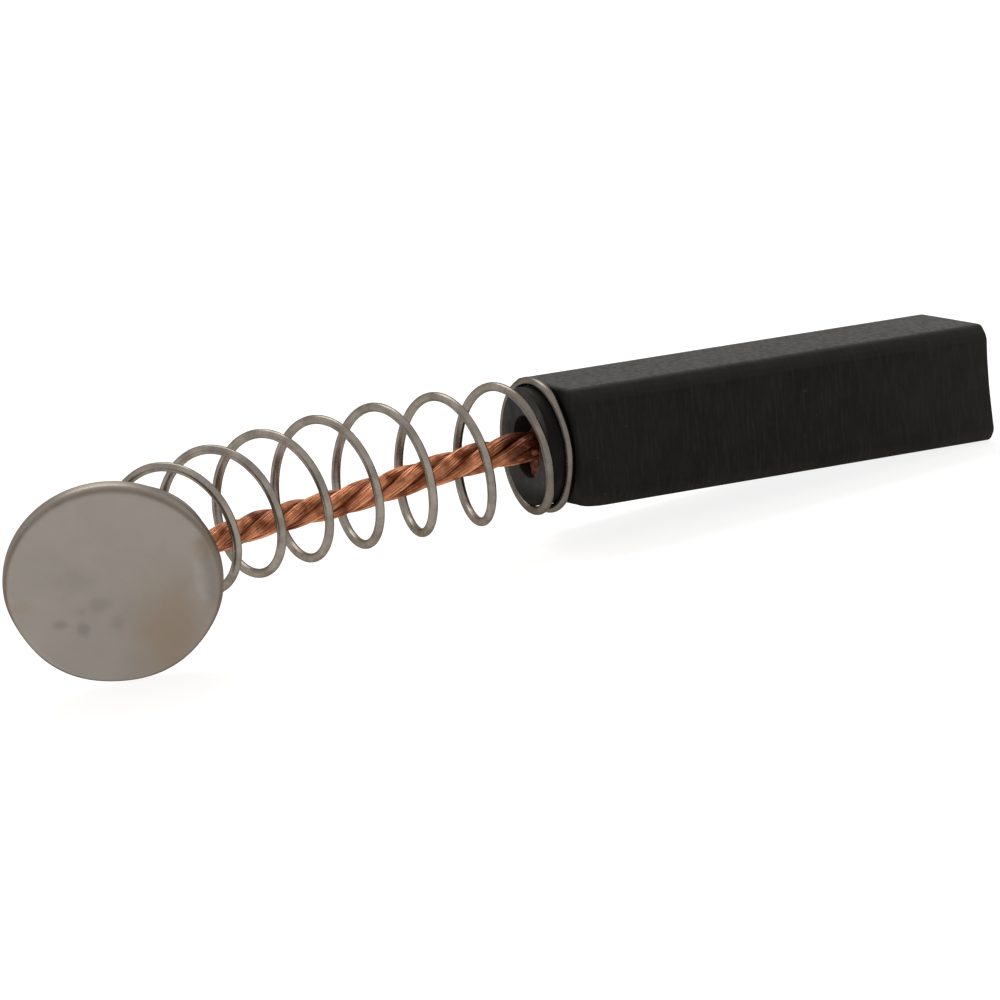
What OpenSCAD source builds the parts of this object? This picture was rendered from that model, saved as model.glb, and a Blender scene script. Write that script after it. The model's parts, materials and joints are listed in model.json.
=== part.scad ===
// Carbon brush for a small commutator motor.
//
// A bevelled carbon block slides in the brush holder and wears against the commutator.
// A compression spring sits on the block's turned collar and presses a pressed-metal
// contact disc outwards. A stranded copper shunt, tamped into the block and soldered to
// the back of the disc, carries the current and keeps the spring from flying off.
//
// The brush is modelled in its own frame: the origin is on the block's axis in the plane
// of the shoulder, +X points at the commutator and +Z is across the block's thickness.
// It is then laid on the ground as it comes to rest, on the disc's rim and on the lower
// edge of the contact face.

/* [Carbon block] */
// Thickness of the block, along the commutator's travel
block_h = 6.3; // [5:0.1:8]
// Width of the block, along the commutator's axis
block_w = 8; // [6.5:0.1:12]
// Length from the shoulder to the edges of the contact face
block_len = 24.3; // [14:0.1:32]
// Bevel along the four long edges
bevel = 0.6; // [0.2:0.05:1]
// Radius that the contact face is bedded to
contact_r = 34; // [12:1:60]
// Step from the block's narrow sides down to the collar
collar_step = 0.05; // [0.05:0.05:0.5]
// Length of the collar that carries the spring
collar_len = 1.2; // [0.8:0.1:2]
// Chamfer round the collar's rim
collar_chamfer = 0.08; // [0.05:0.01:0.2]
// Diameter of the hole that holds the shunt
hole_d = 3.3; // [2.4:0.1:4]
// Depth of that hole below the collar's face
hole_depth = 6.5; // [3:0.1:10]

/* [Tamping compound] */
// How far the compound stops below the collar's face
tamping_recess = 0.5; // [0.2:0.05:1]

/* [Shunt] */
// Diameter of the rope where it leaves the block
shunt_block_d = 1.7; // [1:0.05:2]
// Diameter of the rope where it meets the disc
shunt_disc_d = 1.3; // [0.8:0.05:1.8]
// Number of bundles laid up into the rope
bundle_count = 4; // [3:1:6]
// Length in which a bundle goes once round the rope
lay_len = 9; // [6:0.5:16]
// How far the rope sags below the spring's axis
shunt_sag = 1.05; // [0:0.05:1.6]

/* [Spring] */
// Diameter of the spring wire
wire_d = 0.48; // [0.3:0.01:0.6]
// Number of turns, with the closed ones at both ends
spring_turns = 9.75; // [8:0.05:13]
// Closed turns at each end
closed_turns = 0.7; // [0.5:0.1:1.5]
// Length of the spring along its own bent axis
spring_len = 28.4; // [22:0.1:34]
// Length of the straight stretch next to the collar
straight_len = 7.7; // [4:0.1:12]
// Lean of that stretch to the side, in degrees
spring_lean = 4; // [0:0.5:6]
// Radius that the rest of the spring is bent to
bend_r = 37; // [30:1:80]
// Downward tilt of the plane of the bend, in degrees
bend_droop = 10.5; // [0:0.5:20]

/* [Contact disc] */
// Thickness of the disc's sheet metal
disc_t = 0.4; // [0.3:0.05:0.6]
// Depth of the disc over its turned-back rim
rim_depth = 1; // [0.7:0.05:1.5]
// Outer radius of the fold between face and rim
fold_r = 0.5; // [0.45:0.05:0.6]
// How far the disc reaches beyond the spring all round
disc_overhang = 1.75; // [1.5:0.05:3]
// Turn of the disc's face to the side, in degrees
disc_yaw = 69; // [60:1:75]
// Turn of the disc's face towards the ground, in degrees
disc_pitch = 17; // [5:1:20]
// How far the disc has dropped below the spring's axis
disc_drop = 1.15; // [0:0.05:1.2]
// Width of the solder fillet round the end of the shunt
solder_w = 0.6; // [0.3:0.05:0.8]
// Height of that fillet above the back of the disc
solder_h = 0.6; // [0.3:0.05:0.8]

/* [Fits] */
// Radial play of the spring on the collar, which leaves room for its lean
spring_play = 0.08; // [0.05:0.01:0.2]
// Gap between pieces that touch but aren't fixed
seat_gap = 0.02; // [0.01:0.01:0.05]

/* [Hidden] */

// Fineness of round parts, and of the swept wire and bundles
$fn = 96;
contact_fn = 360;
wire_sides = 8;
rings_per_turn = 24;
bundle_sides = 8;
bundle_step = 0.7;

// Sizes that follow from the ones above
collar_r = min(block_h, block_w) / 2 - collar_step;
spring_r = collar_r + spring_play + wire_d / 2;
disc_r = spring_r + wire_d / 2 + disc_overhang;
up = [0, 0, 1];

// Vectors and easing

function unit(v) = v / norm(v);
// Runs from 0 to 1 with level ends while x does so
function ease(x) = (1 - cos(180 * min(max(x, 0), 1))) / 2;
// Grows from rest to an even slope of 1 while x goes from 0 to the given length
function ramp(x, length) = x < 0 ? 0 : x < length ? x * x / (2 * length) : x - length / 2;

// The spring's axis: through the middle of the collar, straight off it, then round one arc

lead = [-cos(spring_lean), -sin(spring_lean), 0];
bend_side = cos(bend_droop) * [sin(spring_lean), -cos(spring_lean), 0] - sin(bend_droop) * up;
function bend_angle(s) = max(s - straight_len, 0) / bend_r * 180 / PI;
function axis_at(s) =
    collar_len / 2 * sin(spring_lean) * [0, 1, 0]
    + min(s, straight_len) * lead
    + bend_r * (sin(bend_angle(s)) * lead + (1 - cos(bend_angle(s))) * bend_side);
function heading_at(s) = cos(bend_angle(s)) * lead + sin(bend_angle(s)) * bend_side;

// The disc faces this way, and the last coils turn to lie flat on it

facing = [
    -cos(disc_yaw) * cos(disc_pitch),
    -sin(disc_yaw) * cos(disc_pitch),
    -sin(disc_pitch)
];
turn_len = 5;
flat_len = 0.8;
function coil_normal(s) =
    let (k = ease((s - spring_len + turn_len) / (turn_len - flat_len)))
    unit((1 - k) * heading_at(s) + k * facing);
function coil_up(s) = unit(up - coil_normal(s).z * coil_normal(s));

// The helix: closed turns on the collar and on the disc, open ones between

start_angle = 180;
shoulder_angle = 270;
opening = 0.55;
closed_pitch = wire_d + seat_gap;
// Closed turns on the disc are stepped along the slanting axis
disc_pitch_len = closed_pitch / (facing * heading_at(spring_len));
seat_s = max(
    wire_d / 2 + seat_gap,
    (wire_d / 2 + seat_gap + spring_r * sin(spring_lean)) / cos(spring_lean)
        - closed_pitch * (shoulder_angle - start_angle) / 360
);
open_turn = closed_turns;
close_turn = spring_turns - closed_turns - opening;
extra_pitch = (spring_len - seat_s - closed_pitch * spring_turns
    - (disc_pitch_len - closed_pitch) * ramp(spring_turns - close_turn, opening))
    / (close_turn - open_turn);
function advance(t) =
    seat_s + closed_pitch * t
    + extra_pitch * (ramp(t - open_turn, opening) - ramp(t - close_turn, opening))
    + (disc_pitch_len - closed_pitch) * ramp(t - close_turn, opening);
function helix_at(t) =
    let (s = advance(t), a = start_angle + 360 * t)
    axis_at(s) + spring_r * (cos(a) * coil_up(s) + sin(a) * cross(coil_normal(s), coil_up(s)));

// The disc's centre, from the last turn that it lies on

disc_back = axis_at(spring_len) + (wire_d / 2 + seat_gap) * facing - disc_drop * coil_up(spring_len);
disc_front = disc_back + disc_t * facing;

// The shunt: straight out of the block, sagging inside the spring, square onto the disc

hole_end = hole_depth - collar_len;
stub_len = 0.7;
sag_len = 14;
shunt_end = spring_len - 1.6;
function sag(s) =
    shunt_sag * ease((s - collar_len) / (sag_len - collar_len))
    + (disc_drop - shunt_sag) * ease((s - sag_len) / (shunt_end - sag_len));
function rope_r(s) =
    (shunt_block_d + (shunt_disc_d - shunt_block_d) * min(max(s / shunt_end, 0), 1)) / 2;
// Each station holds the rope's centre, the normal of its section, and the length so far
shunt_stations = concat(
    [for (s = [-hole_end, -hole_end * 0.8, -hole_end * 0.6, -hole_end * 0.4, -hole_end * 0.2, 0])
        [[-s, 0, 0], -[1, 0, 0], s]],
    [[[-collar_len, 0, 0], -[1, 0, 0], collar_len]],
    [for (s = [collar_len + bundle_step : bundle_step : shunt_end])
        [axis_at(s) - sag(s) * coil_up(s), coil_normal(s), s]],
    [[disc_back - stub_len * facing, facing, shunt_end + bundle_step],
     [disc_back - seat_gap * facing, facing, shunt_end + bundle_step + stub_len]]
);
// Radius of one bundle when all of them just fit side by side in the rope
function bundle_r(rope) = rope * sin(180 / bundle_count) / (1 + sin(180 / bundle_count)) - seat_gap / 2;

// Laying the brush down: how far block and disc reach in a direction

comm_x = block_len + sqrt(contact_r * contact_r - block_h * block_h / 4);
function contact_x(z) = comm_x - sqrt(contact_r * contact_r - z * z);
block_corners = [
    for (sy = [-1, 1], sz = [-1, 1], p = [[block_w / 2 - bevel, block_h / 2], [block_w / 2, block_h / 2 - bevel]])
        each [[0, sy * p.x, sz * p.y], [contact_x(p.y), sy * p.x, sz * p.y]]
];
function block_reach(d) = max([for (p = block_corners) p * d]);
function disc_reach(d) =
    let (tilt = sqrt(1 - pow(facing * d, 2)))
    max((disc_front - fold_r * facing) * d + (disc_r - fold_r) * tilt + fold_r,
        (disc_front - rim_depth * facing) * d + disc_r * tilt);
function reach(d) = max(block_reach(d), disc_reach(d));
function ground_below(pitch) = [sin(pitch), 0, -cos(pitch)];
// Halves the range of pitch until disc and block touch the ground together
function settle(low, high, rounds) =
    let (mid = (low + high) / 2, d = ground_below(mid))
    rounds == 0 ? mid
    : disc_reach(d) > block_reach(d) ? settle(mid, high, rounds - 1)
    : settle(low, mid, rounds - 1);
rest_pitch = settle(0, 45, 40);
ahead = [cos(rest_pitch), 0, sin(rest_pitch)];
beside = [0, 1, 0];
rest_centre = [
    (reach(ahead) - reach(-ahead)) / 2,
    (reach(beside) - reach(-beside)) / 2,
    -reach(ground_below(rest_pitch))
];

module laid_down() {
    translate(-rest_centre) rotate([0, rest_pitch, 0]) children();
}

// Swept solids

function ring(centre, normal, outward, r, sides) =
    let (x = unit(outward - (outward * normal) * normal), y = cross(normal, x))
    [for (k = [0 : sides - 1]) centre + r * (cos(360 * k / sides) * x + sin(360 * k / sides) * y)];

// Closes a list of rings with equal numbers of points into one solid
module skin(rings) {
    n = len(rings[0]);
    last = (len(rings) - 1) * n;
    walls = [
        for (i = [0 : len(rings) - 2], j = [0 : n - 1])
            let (a = i * n + j, b = i * n + (j + 1) % n)
            each [[a, a + n, b + n], [a, b + n, b]]
    ];
    near_cap = [for (j = [0 : n - 1]) j];
    far_cap = [for (j = [n - 1 : -1 : 0]) last + j];
    polyhedron([for (r = rings) each r], concat([near_cap], walls, [far_cap]), convexity = 10);
}

// Carbon block

module block_section() {
    h = block_h / 2;
    w = block_w / 2;
    polygon([
        [h, w - bevel], [h - bevel, w], [bevel - h, w], [-h, w - bevel],
        [-h, bevel - w], [bevel - h, -w], [h - bevel, -w], [h, bevel - w]
    ]);
}

module collar() {
    rotate([0, -90, 0]) {
        cylinder(r = collar_r, h = collar_len - collar_chamfer);
        translate([0, 0, collar_len - collar_chamfer])
            cylinder(r1 = collar_r, r2 = collar_r - collar_chamfer, h = collar_chamfer);
    }
}

module carbon_block() {
    overlap = 1;
    color([0.16, 0.16, 0.155])
    difference() {
        union() {
            rotate([0, 90, 0]) linear_extrude(block_len) block_section();
            collar();
        }
        translate([-collar_len - overlap, 0, 0])
            rotate([0, 90, 0]) cylinder(d = hole_d, h = hole_depth + overlap);
        translate([comm_x, 0, 0])
            rotate([90, 0, 0]) cylinder(r = contact_r, h = block_w + 2 * overlap, center = true, $fn = contact_fn);
    }
}

// Copper powder compound that fills the hole round the shunt

module tamping_compound() {
    overlap = 1;
    color([0.35, 0.13, 0.08])
    translate([-collar_len + tamping_recess, 0, 0])
        rotate([0, 90, 0])
            difference() {
                cylinder(d = hole_d, h = hole_depth - tamping_recess);
                translate([0, 0, -overlap])
                    cylinder(r = shunt_block_d / 2 + seat_gap / 2, h = hole_depth + 2 * overlap);
            }
}

// Shunt: bundles of fine copper wires with a left-hand lay

module bundle(index) {
    skin([
        for (station = shunt_stations)
            let (
                centre = station[0],
                normal = station[1],
                s = station[2],
                r = bundle_r(rope_r(s)),
                a = 360 * (index / bundle_count - s / lay_len),
                level = unit(up - normal.z * normal),
                outward = cos(a) * level + sin(a) * cross(normal, level)
            )
            ring(centre + (rope_r(s) - r) * outward, normal, outward, r, bundle_sides)
    ]);
}

module shunt() {
    color([0.72, 0.42, 0.26])
    for (i = [0 : bundle_count - 1]) bundle(i);
}

// Spring: right-hand round wire

module spring() {
    ring_count = round(spring_turns * rings_per_turn);
    dt = spring_turns / ring_count;
    color([0.62, 0.59, 0.55])
    skin([
        for (i = [0 : ring_count])
            let (t = i * dt, along = unit(helix_at(t + dt / 2) - helix_at(t - dt / 2)))
            ring(helix_at(t), along, coil_normal(advance(t)), wire_d / 2, wire_sides)
    ]);
}

// Contact disc: flat face with its rim folded back round the spring

module cup_section(r, depth, corner) {
    square([r - corner, depth]);
    square([r, depth - corner]);
    translate([r - corner, depth - corner]) intersection() {
        circle(corner);
        square(corner);
    }
}

module on_disc() {
    translate(disc_front) rotate([0, 90 + disc_pitch, 180 + disc_yaw]) children();
}

module contact_disc() {
    color([0.6, 0.57, 0.53])
    on_disc()
        translate([0, 0, -rim_depth])
            rotate_extrude()
                difference() {
                    cup_section(disc_r, rim_depth, fold_r);
                    cup_section(disc_r - disc_t, rim_depth - disc_t, fold_r - disc_t + seat_gap);
                }
}

// Solder fillet that fixes the shunt to the back of the disc

module solder_joint() {
    bore = shunt_disc_d / 2 + seat_gap;
    color([0.7, 0.7, 0.68])
    on_disc()
        translate([0, 0, -disc_t])
            rotate_extrude()
                polygon([[bore, 0], [bore + solder_w, 0], [bore + solder_w / 4, -solder_h], [bore, -solder_h]]);
}

laid_down() carbon_block();
laid_down() tamping_compound();
laid_down() shunt();
laid_down() spring();
laid_down() contact_disc();
laid_down() solder_joint();
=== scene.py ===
import json
import math

import bpy
import numpy as np
from mathutils import Matrix, Vector, noise

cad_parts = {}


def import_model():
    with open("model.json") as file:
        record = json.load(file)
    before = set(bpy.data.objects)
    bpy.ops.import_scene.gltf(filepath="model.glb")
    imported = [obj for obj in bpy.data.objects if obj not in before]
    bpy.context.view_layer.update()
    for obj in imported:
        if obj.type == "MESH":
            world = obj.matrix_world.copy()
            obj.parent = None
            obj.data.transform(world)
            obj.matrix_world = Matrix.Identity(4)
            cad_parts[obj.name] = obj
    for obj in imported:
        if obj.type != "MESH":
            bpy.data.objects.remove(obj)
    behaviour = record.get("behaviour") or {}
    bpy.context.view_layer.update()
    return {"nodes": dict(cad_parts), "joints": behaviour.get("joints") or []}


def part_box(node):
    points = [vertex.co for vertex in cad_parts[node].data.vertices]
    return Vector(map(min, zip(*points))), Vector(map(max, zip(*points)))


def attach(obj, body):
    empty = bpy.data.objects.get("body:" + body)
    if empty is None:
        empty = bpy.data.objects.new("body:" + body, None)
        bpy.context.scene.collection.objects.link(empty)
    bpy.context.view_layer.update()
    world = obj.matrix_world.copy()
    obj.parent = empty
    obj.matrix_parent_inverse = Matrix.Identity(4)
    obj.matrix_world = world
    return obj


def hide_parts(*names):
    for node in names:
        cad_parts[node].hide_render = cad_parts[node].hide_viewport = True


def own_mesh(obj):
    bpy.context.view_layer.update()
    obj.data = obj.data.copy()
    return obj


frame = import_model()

# Visual model of a carbon brush: a bevelled carbon block, a bent compression spring, a stranded
# copper shunt and a pressed contact disc. Lengths are in millimetres in the brush's own frame,
# whose origin is on the block's axis in the shoulder plane with +X towards the contact face.
# build() turns them into metres and lays each piece down as the CAD part lies.

MM = 0.001

# Carbon block
BLOCK_LEN, BLOCK_W, BLOCK_H = 24.3, 8.0, 6.3
BEVEL = 0.6
CONTACT_R = 34.0
COLLAR_R, COLLAR_LEN, COLLAR_CHAMFER = 3.1, 1.2, 0.08
HOLE_R, HOLE_DEPTH = 1.65, 6.5

# Spring
WIRE_R = 0.24
SPRING_R = 3.42
SPRING_TURNS = 9.75
SPRING_LEN = 28.4
CLOSED_TURNS, OPENING = 0.7, 0.55
START_ANGLE, SHOULDER_ANGLE = 180, 270
STRAIGHT_LEN, LEAN, BEND_R, DROOP = 7.7, 4, 37.0, 10.5
SEAT_GAP = 0.02
# The coils turn from the axis to the disc over this length, from this far before the end
TURN_LEN, TURN_FROM = 4.2, 5
# How much tighter the wire is on the collar, and for how many turns
GRIP, GRIP_TURNS = 0.04, 1.7

# Contact disc
DISC_R, DISC_T, RIM_DEPTH, FOLD_R = 5.41, 0.4, 1.0, 0.5
DISC_YAW, DISC_PITCH, DISC_DROP = 69, 17, 1.15

# Shunt
SHUNT_BLOCK_R, SHUNT_DISC_R = 0.85, 0.65
BUNDLES, LAY_LEN, SAG, SAG_LEN = 4, 9.0, 1.05, 14.0
# Where along the spring's axis the rope turns to the disc, and how long that last stretch is
SHUNT_END, SHUNT_TAIL = SPRING_LEN - 1.6, 2


# ---------------------------------------------------------------- vectors and easing


def unit(v):
    return v / np.linalg.norm(v)


def cosd(a):
    return math.cos(math.radians(a))


def sind(a):
    return math.sin(math.radians(a))


def ease(x):
    return (1 - math.cos(math.pi * min(max(x, 0), 1))) / 2


def ramp(x, length):
    """0 below 0. From there its slope grows from 0 to 1 over the length, and stays 1."""
    if x < 0:
        return 0.0
    return x * x / (2 * length) if x < length else x - length / 2


def quarter(points):
    """(1 - cos, 1 - sin) at each of the points of a quarter turn."""
    angles = [math.pi / 2 * k / (points - 1) for k in range(points)]
    return [(1 - math.cos(a), 1 - math.sin(a)) for a in angles]


# ---------------------------------------------------------------- how the CAD part lies

block_low, block_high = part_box("carbon_block")
height = (block_high.z - block_low.z) / MM
along = BLOCK_LEN + COLLAR_LEN - COLLAR_CHAMFER
across = BLOCK_H / 2 + COLLAR_R
pitch = math.asin(height / math.hypot(along, across)) - math.atan2(across, along)
origin = Vector((
    block_high.x - MM * (math.cos(pitch) * BLOCK_LEN + math.sin(pitch) * BLOCK_H / 2),
    (block_low.y + block_high.y) / 2,
    block_low.z + MM * (math.sin(pitch) * BLOCK_LEN + math.cos(pitch) * BLOCK_H / 2),
))
REST = Matrix.Translation(origin) @ Matrix.Rotation(pitch, 4, "Y")


def in_row(point):
    return REST @ (Vector(point) * MM)


# ---------------------------------------------------------------- the bent axis of the spring

UP = np.array([0.0, 0.0, 1.0])
LEAD = np.array([-cosd(LEAN), -sind(LEAN), 0.0])
SIDE = cosd(DROOP) * np.array([sind(LEAN), -cosd(LEAN), 0.0]) - sind(DROOP) * UP
START = np.array([0.0, COLLAR_LEN / 2 * sind(LEAN), 0.0])
FACING = np.array([
    -cosd(DISC_YAW) * cosd(DISC_PITCH), -sind(DISC_YAW) * cosd(DISC_PITCH), -sind(DISC_PITCH),
])


def axis_at(s):
    b = max(s - STRAIGHT_LEN, 0) / BEND_R
    bent = math.sin(b) * LEAD + (1 - math.cos(b)) * SIDE
    return START + min(s, STRAIGHT_LEN) * LEAD + BEND_R * bent


def heading_at(s):
    b = max(s - STRAIGHT_LEN, 0) / BEND_R
    return math.cos(b) * LEAD + math.sin(b) * SIDE


def coil_normal(s):
    k = ease((s - SPRING_LEN + TURN_FROM) / TURN_LEN)
    return unit((1 - k) * heading_at(s) + k * FACING)


def coil_up(s):
    n = coil_normal(s)
    return unit(UP - n[2] * n)


# ---------------------------------------------------------------- the helix

CLOSED_PITCH = 2 * WIRE_R + SEAT_GAP
DISC_PITCH_LEN = CLOSED_PITCH / float(FACING @ heading_at(SPRING_LEN))
SEAT = max(
    WIRE_R + SEAT_GAP,
    (WIRE_R + SEAT_GAP + SPRING_R * sind(LEAN)) / cosd(LEAN)
    - CLOSED_PITCH * (SHOULDER_ANGLE - START_ANGLE) / 360,
)
CLOSE_TURN = SPRING_TURNS - CLOSED_TURNS - OPENING
EXTRA_PITCH = (
    SPRING_LEN - SEAT - CLOSED_PITCH * SPRING_TURNS
    - (DISC_PITCH_LEN - CLOSED_PITCH) * ramp(SPRING_TURNS - CLOSE_TURN, OPENING)
) / (CLOSE_TURN - CLOSED_TURNS)


def advance(t):
    """How far along the axis the wire has come after t turns."""
    opened, closing = ramp(t - CLOSED_TURNS, OPENING), ramp(t - CLOSE_TURN, OPENING)
    return (SEAT + CLOSED_PITCH * t + EXTRA_PITCH * (opened - closing)
            + (DISC_PITCH_LEN - CLOSED_PITCH) * closing)


def helix_at(t):
    s = advance(t)
    a = START_ANGLE + 360 * t
    n, u = coil_normal(s), coil_up(s)
    r = SPRING_R - GRIP * ease(2 * (GRIP_TURNS - t))
    return axis_at(s) + r * (cosd(a) * u + sind(a) * np.cross(n, u))


DISC_BACK = axis_at(SPRING_LEN) + (WIRE_R + SEAT_GAP) * FACING - DISC_DROP * coil_up(SPRING_LEN)
DISC_FRONT = DISC_BACK + DISC_T * FACING


# ---------------------------------------------------------------- meshes


def put(name, data):
    obj = bpy.data.objects.new(name, data)
    bpy.context.scene.collection.objects.link(obj)
    return obj


def build(name, verts, faces, material, place=REST, crease=40):
    """A piece laid down by the matrix place. Its own coordinates stay with it for its material."""
    mesh = bpy.data.meshes.new(name)
    own = [Vector(v) * MM for v in verts]
    mesh.from_pydata([place @ v for v in own], [], faces)
    attribute = mesh.attributes.new("own", "FLOAT_VECTOR", "POINT")
    attribute.data.foreach_set("vector", np.array(own).ravel())
    mesh.validate()
    mesh.shade_smooth()
    mesh.set_sharp_from_angle(angle=math.radians(crease))
    mesh.materials.append(material)
    return put(name, mesh)


def skin(loops, first_cap=True, last_cap=True, base=0):
    """Faces that join equal closed loops of points, numbered from base."""
    n, m = len(loops[0]), len(loops)
    faces = []
    for i in range(m - 1):
        for j in range(n):
            a, b = base + i * n + j, base + i * n + (j + 1) % n
            faces.append((a, b, b + n, a + n))
    if first_cap:
        faces.append(tuple(base + j for j in reversed(range(n))))
    if last_cap:
        faces.append(tuple(base + (m - 1) * n + j for j in range(n)))
    return faces


def circle(centre, x, y, radius, sides):
    a = np.linspace(0, 2 * math.pi, sides, endpoint=False)[:, None]
    return centre + radius * (np.cos(a) * x + np.sin(a) * y)


# ---------------------------------------------------------------- node trees


def rgb(r, g, b):
    return (r, g, b, 1)


class Graph:
    """The node tree of a material or a world, with short ways to add and join nodes."""

    def __init__(self, data, shader):
        self.data = data
        data.use_nodes = True
        self.tree = data.node_tree
        self.shader = self.tree.nodes[shader]

    def add(self, kind, **inputs):
        node = self.tree.nodes.new(kind)
        for key, value in inputs.items():
            self.set(node, key.replace("_", " "), value)
        return node

    def set(self, node, socket, value):
        target = node.inputs[socket]
        if isinstance(value, bpy.types.NodeSocket):
            self.tree.links.new(value, target)
        else:
            target.default_value = value

    def shade(self, **inputs):
        """Sets the shader's inputs and returns the material or the world."""
        for key, value in inputs.items():
            self.set(self.shader, key.replace("_", " "), value)
        return self.data

    def split(self, vector):
        return self.add("ShaderNodeSeparateXYZ", Vector=vector).outputs

    def between(self, value, low, high, to_low=0.0, to_high=1.0):
        """A smooth step from to_low to to_high as the value goes from low to high."""
        node = self.add("ShaderNodeMapRange", Value=value, From_Min=low, From_Max=high,
                        To_Min=to_low, To_Max=to_high)
        node.interpolation_type = "SMOOTHSTEP"
        return node.outputs["Result"]

    def maths(self, operation, a, b=0.0):
        node = self.tree.nodes.new("ShaderNodeMath")
        node.operation = operation
        self.set(node, 0, a)
        self.set(node, 1, b)
        return node.outputs["Value"]

    def mix(self, factor, a, b):
        node = self.tree.nodes.new("ShaderNodeMix")
        node.data_type = "RGBA"
        self.set(node, 0, factor)
        self.set(node, 6, a)
        self.set(node, 7, b)
        return node.outputs[2]


class Finish(Graph):
    """A material that is laid out in its piece's own coordinates."""

    def __init__(self, name):
        super().__init__(bpy.data.materials.new(name), "Principled BSDF")
        self.place = self.attribute("own")["Vector"]

    def attribute(self, name):
        node = self.add("ShaderNodeAttribute")
        node.attribute_name = name
        return node.outputs

    def mapped(self, scale, move=(0, 0, 0)):
        node = self.add("ShaderNodeMapping", Vector=self.place, Scale=scale, Location=move)
        return node.outputs["Vector"]

    def noise(self, size, detail=4, roughness=0.55, where=None, distortion=0):
        """Noise with features of about the given size in mm, from 0 to 1."""
        node = self.add("ShaderNodeTexNoise", Vector=where or self.place, Scale=1 / (size * MM),
                        Detail=detail, Roughness=roughness, Distortion=distortion)
        return node.outputs["Fac"]

    def bump(self, height, depth, strength=1.0, below=None):
        """A bump of the given depth in mm over a height from 0 to 1."""
        node = self.add("ShaderNodeBump", Height=height, Strength=strength, Distance=depth * MM)
        if below is not None:
            self.set(node, "Normal", below)
        return node.outputs["Normal"]

    def away(self, scale, move=(0, 0, 0)):
        """The distance from the origin, once the place is scaled and moved."""
        node = self.tree.nodes.new("ShaderNodeVectorMath")
        node.operation = "LENGTH"
        self.set(node, 0, self.mapped(scale, move))
        return node.outputs["Value"]

    def patch(self, x, y, rx, ry, soft):
        """A ragged oval about (x, y) in mm: 1 inside and 0 outside."""
        ragged, edge = 0.9, 1.45
        away = self.away((1 / (rx * MM), 1 / (ry * MM), 0), (-x / rx, -y / ry, 0))
        wave = self.maths("MULTIPLY", self.noise(0.9 * min(rx, ry)), ragged)
        return self.between(self.maths("ADD", away, wave), edge - soft, edge + soft, 1, 0)

    def ring(self, low, high):
        """A soft ring about the Z axis between two radii in mm: 1 inside and 0 outside."""
        away, soft = self.away((1 / MM, 1 / MM, 0)), (high - low) / 2
        rise = self.between(away, low - soft, low + soft)
        fall = self.between(away, high - soft, high + soft, 1, 0)
        return self.maths("MULTIPLY", rise, fall)


# ---------------------------------------------------------------- materials


def carbon():
    g = Finish("carbon")
    grain = g.noise(0.08, 3, 0.65)
    cloud = g.noise(1.8, 5)
    mottle = g.noise(0.22, 4, 0.7, where=g.mapped((1, 0.4, 0.4)))
    scratches = g.noise(0.14, 3, where=g.mapped((1, 0.1, 0.1)))
    x, y, z = g.split(g.place)
    tone = g.mix(g.between(cloud, 0.3, 0.7), rgb(0.018, 0.0165, 0.0148), rgb(0.026, 0.0242, 0.0218))
    for fleck, low, high, strength, colour in (
        (scratches, 0.45, 0.75, 0.5, rgb(0.048, 0.0445, 0.04)),
        (mottle, 0.5, 0.75, 0.3, rgb(0.046, 0.042, 0.037)),
        (grain, 0.55, 0.8, 0.35, rgb(0.06, 0.056, 0.05)),
    ):
        tone = g.mix(g.between(fleck, low, high, 0, strength), tone, colour)
    # Painted light: lighter on the upper bevels, which face the light, and paler towards the
    # contact face
    lit_bevel_and_paler = rgb(0.075, 0.07, 0.064)
    bevel = g.maths("ADD", g.maths("ABSOLUTE", y), z)
    tone = g.mix(g.between(bevel, 6.3 * MM, 6.5 * MM, 0, 0.3), tone, lit_bevel_and_paler)
    tone = g.mix(g.between(x, 14 * MM, 24 * MM, 0, 0.18), tone, lit_bevel_and_paler)
    # A few light specks
    specks = g.add("ShaderNodeTexVoronoi", Vector=g.place, Scale=1 / (1.7 * MM))
    specks = g.maths("ADD", specks.outputs["Distance"], g.maths("MULTIPLY", grain, 0.08))
    tone = g.mix(g.between(specks, 0.05, 0.12, 0.1, 0), tone, rgb(0.3, 0.28, 0.25))
    normal = g.bump(grain, 0.02, 0.7)
    normal = g.bump(mottle, 0.008, 0.3, normal)
    normal = g.bump(scratches, 0.02, 0.55, normal)
    # Dull near the ground
    dull = g.between(z, -3 * MM, -1.6 * MM, 0.95, 0.4)
    return g.shade(Base_Color=tone, IOR=1.14, Specular_Tint=rgb(1, 0.93, 0.85), Normal=normal,
                   Roughness=g.maths("MAXIMUM", g.between(mottle, 0.35, 0.7, 0.44, 0.6), dull))


METAL_EDGE = rgb(0.4, 0.37, 0.33)


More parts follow.
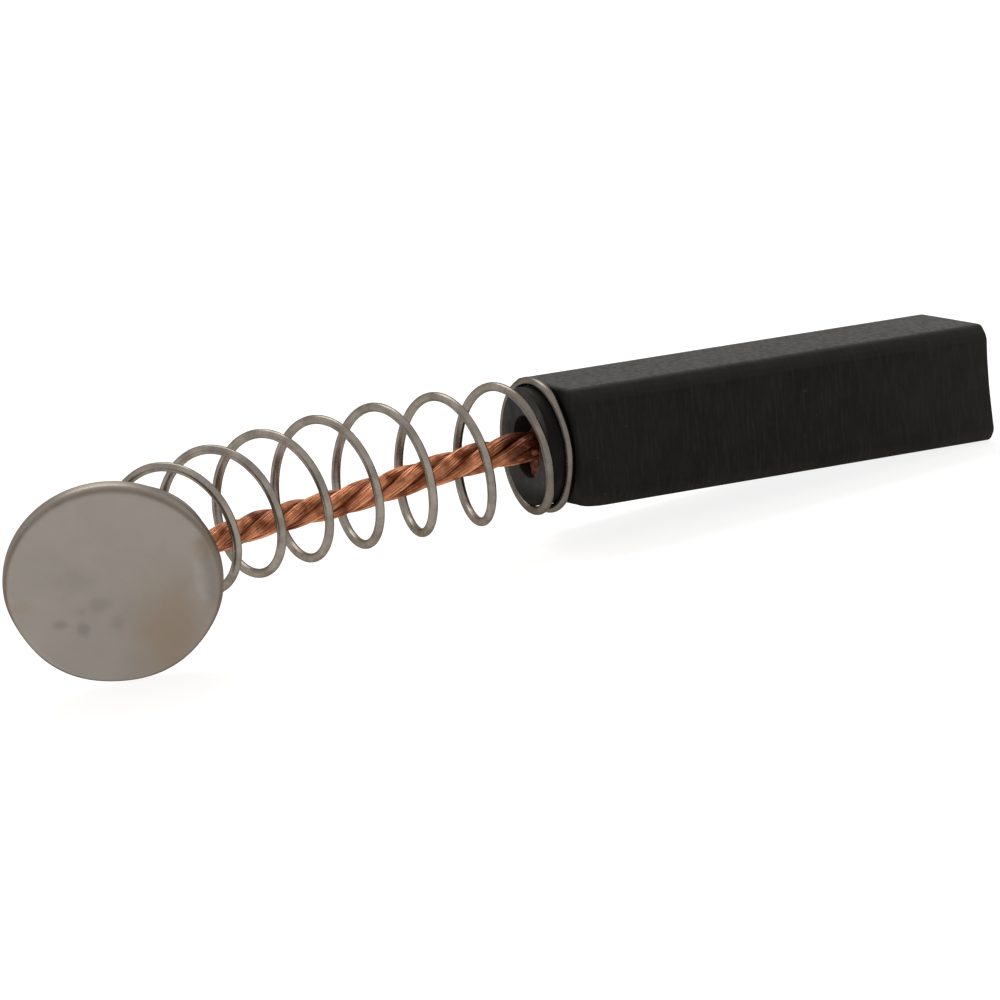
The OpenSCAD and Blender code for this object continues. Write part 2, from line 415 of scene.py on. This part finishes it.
def sheet():
    g = Finish("plated_sheet")
    cloud = g.noise(2.2, 5, distortion=0.6)
    fine = g.noise(0.12)

    def faint(mask, strength):
        return g.maths("MULTIPLY", mask, strength)

    tone = g.mix(g.between(cloud, 0.3, 0.75), rgb(0.295, 0.265, 0.235), rgb(0.27, 0.245, 0.218))
    # Brown tarnish at the lower right, at the left edge and at the upper right
    left = faint(g.patch(-4.7, -0.6, 0.6, 0.35, 0.7), 0.5)
    brown = g.maths("MAXIMUM", g.patch(2.6, -2.9, 1.6, 2.7, 0.8), left)
    brown = g.maths("MAXIMUM", brown, g.patch(4.7, 1.7, 0.6, 0.5, 0.6))
    tone = g.mix(faint(brown, 0.7), tone, rgb(0.257, 0.19, 0.133))
    # A bare patch at the right, and a dark edge there that is painted shade on the fold
    tone = g.mix(faint(g.patch(4.4, 0, 0.4, 1.2, 0.35), 0.5), tone, rgb(0.33, 0.31, 0.29))
    tone = g.mix(faint(g.patch(5.1, 1, 0.7, 3, 0.5), 0.5), tone, rgb(0.153, 0.133, 0.112))
    # Painted shade: a dark brown line where the rim folds back
    fold_shade = g.maths("MULTIPLY", g.ring(5.18, 5.36), g.between(cloud, 0.2, 0.7, 0.45, 0.8))
    tone = g.mix(fold_shade, tone, rgb(0.14, 0.105, 0.075))
    # Smudges
    for x, y, rx, ry, strength in ((-2.8, -1.7, 0.36, 0.22, 0.45), (-1.7, -2.1, 0.3, 0.36, 0.45),
                                   (-0.75, -0.8, 0.5, 0.35, 0.3), (-1.75, -1.1, 0.3, 0.25, 0.2),
                                   (0, -1.9, 0.3, 0.4, 0.2), (-1.9, 0.7, 0.9, 0.5, 0.15)):
        tone = g.mix(faint(g.patch(x, y, rx, ry, 0.7), strength), tone, rgb(0.155, 0.14, 0.13))
    return g.shade(Base_Color=tone, Metallic=0.85, Specular_Tint=METAL_EDGE,
                   Roughness=g.between(fine, 0.3, 0.7, 0.34, 0.44), Normal=g.bump(fine, 0.01, 0.3))


def steel():
    g = Finish("spring_steel")
    cloud = g.noise(0.9)
    fine = g.noise(0.05, 3)
    tone = g.mix(g.between(cloud, 0.3, 0.7), rgb(0.29, 0.255, 0.22), rgb(0.19, 0.166, 0.141))
    # Painted shade on the turns at the collar, next to the dark block
    collar_shade = g.between(g.split(g.place)[0], -3 * MM, -1.4 * MM, 0, 0.5)
    tone = g.mix(collar_shade, tone, rgb(0.08, 0.073, 0.064))
    return g.shade(Base_Color=tone, Metallic=1.0, Specular_Tint=METAL_EDGE,
                   Roughness=g.between(fine, 0.3, 0.7, 0.24, 0.32), Normal=g.bump(fine, 0.002, 0.2))


def copper():
    """Bare copper, with painted shade deep in the rope, and darker on its duller wires."""
    g = Finish("copper")
    cloud = g.noise(1.1)
    deep_shade, dull = g.attribute("depth")["Fac"], g.attribute("dull")["Fac"]
    tone = g.mix(g.between(cloud, 0.35, 0.7), rgb(0.88, 0.385, 0.2), rgb(0.2, 0.05, 0.018))
    # Painted shade deep in the rope, between the wires
    tone = g.mix(g.between(deep_shade, 0.08, 0.38), tone, rgb(0.1, 0.019, 0.007))
    tone = g.mix(dull, tone, rgb(0.15, 0.038, 0.013))
    # Powder from the hole clings to the first stretch, with painted shade where the rope goes into
    # the hole
    near = g.between(g.split(g.place)[0], -3.2 * MM, -0.9 * MM)
    near = g.maths("MULTIPLY", near, g.between(g.noise(0.3), 0.25, 0.6))
    tone = g.mix(near, tone, rgb(0.1, 0.022, 0.012))
    return g.shade(Base_Color=tone, Metallic=1.0, Roughness=g.between(near, 0, 1, 0.35, 0.6))


def powder():
    g = Finish("copper_powder")
    lumps = g.noise(0.22, 5, 0.65)
    tone = g.mix(g.between(lumps, 0.35, 0.7), rgb(0.1, 0.034, 0.024), rgb(0.42, 0.12, 0.075))
    return g.shade(Base_Color=tone, Roughness=0.85, Normal=g.bump(lumps, 0.12, 0.9))


def solder():
    """The solder joint is the CAD's own mesh, so it takes the object's coordinates."""
    g = Finish("solder")
    g.place = g.add("ShaderNodeTexCoord").outputs["Object"]
    fine = g.noise(0.3, 3)
    return g.shade(Base_Color=g.mix(fine, rgb(0.5, 0.5, 0.48), rgb(0.4, 0.39, 0.37)),
                   Metallic=1.0, Roughness=0.42, Normal=g.bump(fine, 0.03, 0.4))


CARBON, SHEET, STEEL = carbon(), sheet(), steel()
COPPER, POWDER, SOLDER = copper(), powder(), solder()


# ---------------------------------------------------------------- carbon block


def block_outline():
    """The block's section as (y, z) points and their outward normals: a bevelled rectangle."""
    w, h, c = BLOCK_W / 2, BLOCK_H / 2, BEVEL
    rounding = 0.28  # how far the rounding of a long edge reaches along each side
    step_len = 0.3
    corners = [np.array(p) for p in (
        (w - c, -h), (w, c - h), (w, h - c), (w - c, h),
        (c - w, h), (-w, h - c), (-w, c - h), (c - w, -h),
    )]
    points = []
    for i, p in enumerate(corners):
        after = corners[(i + 1) % 8]
        a, b = p + rounding * unit(corners[i - 1] - p), p + rounding * unit(after - p)
        for k in np.linspace(0, 1, 6):
            points.append((1 - k) ** 2 * a + 2 * k * (1 - k) * p + k * k * b)
        q = after - rounding * unit(after - p)
        count = round(np.linalg.norm(q - b) / step_len)
        points += [b + (q - b) * k / count for k in range(1, count)]
    points = np.array(points)
    step = np.roll(points, -1, axis=0) - np.roll(points, 1, axis=0)
    normals = np.column_stack([step[:, 1], -step[:, 0]])
    return points, normals / np.linalg.norm(normals, axis=1)[:, None]


def contact_x(z):
    return BLOCK_LEN + math.sqrt(CONTACT_R**2 - BLOCK_H**2 / 4) - np.sqrt(CONTACT_R**2 - z * z)


def worn(y, z, least, most):
    """Uneven edge rounding between two sizes."""
    return least + (most - least) * (0.5 + 0.5 * noise.noise(Vector((1.1 * y, 1.1 * z, 3.3))))


def carbon_block():
    outline, normals = block_outline()
    angle = np.arctan2(outline[:, 1], outline[:, 0])
    ring = np.column_stack([np.cos(angle), np.sin(angle)])
    loops = []

    def add(x, section):
        loops.append(np.column_stack([np.broadcast_to(x, len(section)), section]))

    # The hole, from its bottom to its slightly broken edge
    bottom, mouth = HOLE_DEPTH - COLLAR_LEN, -COLLAR_LEN
    collar, edge = COLLAR_R + 0.02, 0.05
    for x, r in ((bottom, 0.02), (bottom, HOLE_R), (mouth + 0.08, HOLE_R),
                 (mouth + 0.02, HOLE_R + 0.02), (mouth, HOLE_R + 0.08),
                 (mouth, collar - edge - 0.02)):
        add(x, r * ring)
    # The collar
    for c, s in quarter(6):
        add(mouth + edge * c, (collar - edge * s) * ring)
    add(-0.04, collar * ring)
    add(0, (collar + 0.01) * ring)
    # The shoulder, worn further back along the block's underside
    low = np.clip(-outline[:, 1] - 2, 0, 1)
    shoulder = np.array([worn(y, z, 0.14, 0.24) for y, z in outline]) + 0.08 * low
    run = shoulder + 1.3 * low
    for c, s in quarter(8):
        add(run * c, outline - normals * (shoulder * s)[:, None])
    # The sides, and the edge round the contact face
    end = np.array([worn(y, z, 0.09, 0.15) for y, z in outline]) + 0.03 * low
    reach = contact_x(outline[:, 1])
    for k in range(1, 60):
        add(run + (reach - end - run) * k / 60, outline)
    for c, s in quarter(6):
        add(reach - end * s, outline - normals * (end * c)[:, None])
    # The contact face
    fold_shade = outline - normals * end[:, None]
    for k in range(1, 16):
        section = fold_shade * (1 - k / 15.5)
        add(contact_x(section[:, 1]), section)
    build("carbon_block_worn", np.concatenate(loops), skin(loops), CARBON, crease=50)


# ---------------------------------------------------------------- tamping compound


def tamping_compound():
    """Powder packed round the shunt, low at the far upper side of the hole and crumbly on top."""
    sides, rings = 64, 16
    bottom, radius = HOLE_DEPTH - COLLAR_LEN - 0.01, HOLE_R - 0.005
    recess, slope, crumbs = 0.62, 0.42, 0.16
    across_hole = np.array([0, 1, 0])
    loops = [circle(np.array([bottom, 0, 0]), across_hole, UP, r, sides) for r in (0.02, radius)]
    for k in range(rings):
        points = circle(np.zeros(3), across_hole, UP, radius * (1 - k / rings), sides)
        lean = (points[:, 1] + 1.2 * points[:, 2]) / (1.56 * HOLE_R)
        rough = np.array([noise.fractal(Vector(p) * 3.2, 0.8, 2.1, 4) for p in points])
        points[:, 0] = -COLLAR_LEN + recess + slope * lean + crumbs * rough
        loops.append(points)
    build("tamping_compound_top", np.concatenate(loops), skin(loops), POWDER, crease=180)


# ---------------------------------------------------------------- spring


def wire(name, turns):
    """The stretch of the spring's wire through the given turns, capped where the wire ends."""
    sides = 16
    loops = []
    for t in turns:
        heading = unit(helix_at(t + 0.002) - helix_at(t - 0.002))
        n = coil_normal(advance(t))
        x = unit(n - (n @ heading) * heading)
        loops.append(circle(helix_at(t), x, np.cross(heading, x), WIRE_R, sides))
    ends = turns[0] == 0, turns[-1] == SPRING_TURNS
    return build(name, np.concatenate(loops), skin(loops, *ends), STEEL, crease=60)


# ---------------------------------------------------------------- shunt


def sag(s):
    first = SAG * ease((s - COLLAR_LEN) / (SAG_LEN - COLLAR_LEN))
    return first + (DISC_DROP - SAG) * ease((s - SAG_LEN) / (SHUNT_END - SAG_LEN))


def rope_point(s):
    """A point of the rope's centre, from the hole (s below 0) to the back of the disc."""
    if s <= COLLAR_LEN:
        return np.array([-s, 0.0, 0.0])
    if s > SHUNT_END:
        start, k = rope_point(SHUNT_END), (s - SHUNT_END) / SHUNT_TAIL
        out, stop = start - rope_point(SHUNT_END - 0.1), DISC_BACK - 0.05 * FACING
        middle = start + unit(out) * 0.6
        return (1 - k) ** 2 * start + 2 * k * (1 - k) * middle + k * k * stop
    k = ease((s - COLLAR_LEN) / 2)
    return k * (axis_at(s) - sag(s) * coil_up(s)) + (1 - k) * np.array([-s, 0.0, 0.0])


def units(rows):
    return rows / np.linalg.norm(rows, axis=1)[:, None]


def shunt():
    """Four bundles laid up left-hand, each a sleeve of fine wires round a core darkened by painted
    shade.
    """
    stations = np.linspace(-3.5, SHUNT_END + SHUNT_TAIL, 125)
    centre = np.array([rope_point(s) for s in stations])
    heading = units(np.gradient(centre, axis=0))
    level = units(UP - heading[:, 2:3] * heading)
    aside = np.cross(heading, level)
    rope = SHUNT_BLOCK_R + (SHUNT_DISC_R - SHUNT_BLOCK_R) * np.clip(stations / SHUNT_END, 0, 1)
    verts, faces, depth, dull = [], [], [], []

    def around(angle):
        return np.cos(angle)[:, None] * level + np.sin(angle)[:, None] * aside

    def strand(points, radius, sides):
        ahead = units(np.gradient(points, axis=0))
        x = units(level - (level * ahead).sum(1)[:, None] * ahead)
        y = np.cross(ahead, x)
        a = np.linspace(0, 2 * math.pi, sides, endpoint=False)[None, :, None]
        offset = np.cos(a) * x[:, None, :] + np.sin(a) * y[:, None, :]
        loops = points[:, None, :] + radius[:, None, None] * offset
        faces.extend(skin(loops, base=sum(len(v) for v in verts)))
        verts.append(loops.reshape(-1, 3))
        away = np.linalg.norm(loops - centre[:, None, :], axis=2) / rope[:, None]
        depth.append((1 - away).reshape(-1))
        shade = 0.3 + 0.5 * noise.noise(Vector((1.7 * len(verts), 0, 0)))
        dull.append(np.full(away.size, shade))

    # noise_vector draws from a generator that the clock would seed
    noise.seed_set(1)
    wires = 30
    # The wires are looser where the rope leaves the hole
    loose = 0.02 + 0.05 * np.clip(1 - np.abs(stations) / 2.5, 0, 1)
    for i in range(BUNDLES):
        drift = np.array([noise.noise(Vector((0.21 * s, 7.7 * i, 1.0))) for s in stations])
        swell = np.array([noise.noise(Vector((0.33 * s, 4.1 * i, 9.0))) for s in stations])
        r = rope * 0.5 * (1 + 0.06 * swell)
        lay = 2 * math.pi * (i / BUNDLES - stations / LAY_LEN) + 0.25 * drift
        middle = centre + (rope - r)[:, None] * around(lay)
        thin = r * math.pi / (wires + math.pi)
        strand(middle, r - 1.6 * thin, 10)
        for j in range(wires):
            wander = np.array([noise.noise_vector(Vector((0.5 * s, 3.3 * j, 5.9 * i)))
                               for s in stations])
            lay = 2 * math.pi * (j / wires - 0.6 * stations / LAY_LEN) + 0.3 * wander[:, 0]
            out = (r - thin + loose * wander[:, 1])[:, None]
            strand(middle + out * around(lay), thin, 5)
    obj = build("shunt_strands", np.concatenate(verts), faces, COPPER, crease=80)
    for name, values in (("depth", depth), ("dull", dull)):
        attribute = obj.data.attributes.new(name, "FLOAT", "POINT")
        attribute.data.foreach_set("value", np.concatenate(values).astype(np.float32))
    return obj


# ---------------------------------------------------------------- contact disc


def disc_place():
    y = unit(UP - FACING[2] * FACING)
    x = np.cross(y, FACING)
    m = Matrix.Identity(4)
    for i, column in enumerate((x, y, FACING)):
        m.col[i][:3] = column
    m.translation = Vector(DISC_FRONT) * MM
    return REST @ m


def contact_disc():
    """Pressed sheet, seen from the front with +Y up: a nearly flat face, its rim folded back."""
    sides = 144
    inner, lip, middle = DISC_R - DISC_T, 0.1, 0.03
    profile = [(middle + (DISC_R - FOLD_R - middle) * k / 18, 0) for k in range(18)]
    profile += [(DISC_R - FOLD_R * s, -FOLD_R * c) for c, s in quarter(13)]
    profile += [(DISC_R - lip * c, -RIM_DEPTH + lip * s) for c, s in quarter(5)]
    profile += [(inner + lip * s, -RIM_DEPTH + lip * c) for c, s in quarter(5)]
    profile += [(inner - lip * c, -DISC_T - lip * s) for c, s in quarter(5)]
    profile.append((0.05, -DISC_T))
    # The outline is knocked a little flat in three places, each given by its angle and depth
    turn = np.arange(sides) * 360 / sides
    flat = sum(depth * np.exp(-(((turn - at + 180) % 360 - 180) / 20) ** 2)
               for at, depth in ((205, 0.12), (270, 0.07), (322, 0.08)))
    loops = []
    for r, z in profile:
        points = circle(np.array([0, 0, z]), np.array([1, 0, 0]), np.array([0, 1, 0]), r, sides)
        points *= np.column_stack([1 - flat / DISC_R, 1 - flat / DISC_R, np.ones(sides)])
        # The face and the rim are slightly uneven
        if z > -DISC_T:
            for p in points:
                p[2] -= 0.02 * (1 + noise.noise(Vector((p[0], p[1], 0)) * 0.45))
        loops.append(points)
    return build("contact_disc_pressed", np.concatenate(loops), skin(loops), SHEET, disc_place(),
                 crease=60)


# ---------------------------------------------------------------- the pieces

carbon_block()
tamping_compound()
for name, node, colour in (("carbon_block_worn", "carbon_block", "carbon"),
                           ("tamping_compound_top", "tamping_compound", "copper_powder")):
    piece = bpy.data.objects[name]
    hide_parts(node)
    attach(piece, "brush")

disc = contact_disc()
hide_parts("contact_disc")
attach(disc, "disc")
frame["nodes"]["solder_joint"].data.materials.clear()
frame["nodes"]["solder_joint"].data.materials.append(SOLDER)

# The spring is three stretches of one wire. The end ones keep to the block and to the disc, and
# the open coils between them go with the block. They part where the wire comes
# nearest to the block at the disc and furthest from it at the collar.
travel = [j for j in frame["joints"] if j["name"] == "spring_travel"][0]
PUSH = np.array(travel["axis"])


def reach_along(t):
    return float(np.array(in_row(helix_at(t))) @ PUSH)


turns = np.linspace(0, SPRING_TURNS, round(SPRING_TURNS * 64) + 1)
reaches = np.array([reach_along(t) for t in turns])
near_block = int(np.argmin(np.where(turns < 1.0, reaches, np.inf)))
near_disc = int(np.argmax(np.where(turns > SPRING_TURNS - 1.2, reaches, -np.inf)))
first = wire("spring_collar_turn", turns[: near_block + 1])
coils = wire("spring_coils", turns[near_block : near_disc + 1])
last = wire("spring_disc_turns", turns[near_disc:])
for piece in (first, coils, last):
    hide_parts("spring")
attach(first, "brush")
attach(coils, "brush")
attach(last, "disc")
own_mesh(coils)

rope = shunt()
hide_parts("shunt")
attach(rope, "brush")
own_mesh(rope)

# ---------------------------------------------------------------- floor, light and camera


def by_ray(g, seen, otherwise):
    """One colour where it is seen, in metal and glass too, and another where it only lights."""
    rays = g.add("ShaderNodeLightPath").outputs
    factor = rays["Is Camera Ray"]
    for ray in ("Is Glossy Ray", "Is Transmission Ray"):
        factor = g.maths("MAXIMUM", factor, rays[ray])
    return g.mix(factor, otherwise, seen)


def floor():
    """Nearly white where it is seen, with the brush's faint shadow on it."""
    g = Graph(bpy.data.materials.new("floor"), "Principled BSDF")
    glow = by_ray(g, rgb(0.86, 0.86, 0.86), rgb(0.42, 0.42, 0.42))
    material = g.shade(Base_Color=rgb(0.5, 0.5, 0.5), Roughness=1.0, Specular_IOR_Level=0.0,
                       Emission_Color=glow, Emission_Strength=1.0)
    size, cells = 1.2, 24
    row = cells + 1
    line = np.linspace(-size, size, row)
    corners = [r * row + c for r in range(cells) for c in range(cells)]
    mesh = bpy.data.meshes.new("floor")
    mesh.from_pydata([(x, y, 0) for y in line for x in line], [],
                     [(a, a + 1, a + row + 1, a + row) for a in corners])
    mesh.materials.append(material)
    put("floor", mesh)


def world():
    """White where it is seen. As light it is warm and bright behind the brush, dim in front."""
    g = Graph(bpy.data.worlds.new("studio"), "Background")
    back = g.split(g.add("ShaderNodeTexCoord").outputs["Generated"])["Y"]
    light = g.mix(g.between(back, -0.4, 0.9), rgb(0.15, 0.143, 0.135), rgb(0.85, 0.79, 0.73))
    bpy.context.scene.world = g.shade(Color=by_ray(g, rgb(1, 1, 1), light), Strength=1.0)


def softbox():
    """A soft light above and behind the brush, aimed at the middle of the ground."""
    data = bpy.data.lights.new("softbox", "AREA")
    data.shape = "RECTANGLE"
    data.size, data.size_y = 0.22, 0.15
    data.energy = 0.38
    obj = put("softbox", data)
    obj.location = (0.05, 0.2, 0.3)
    obj.rotation_euler = (-obj.location).to_track_quat("-Z", "Y").to_euler()
    obj.visible_camera = False


floor()
world()
softbox()

camera = bpy.data.cameras.new("camera")
camera.lens = 179.36
camera.sensor_width = 36
camera.clip_start, camera.clip_end = 0.01, 10
view = put("camera", camera)
view.location = (-0.093837, -0.23315, 0.053536)
view.rotation_euler = (math.radians(78.559), math.radians(9.95), math.radians(-23.794))
bpy.context.scene.camera = view
bpy.context.scene.view_settings.view_transform = "Standard"
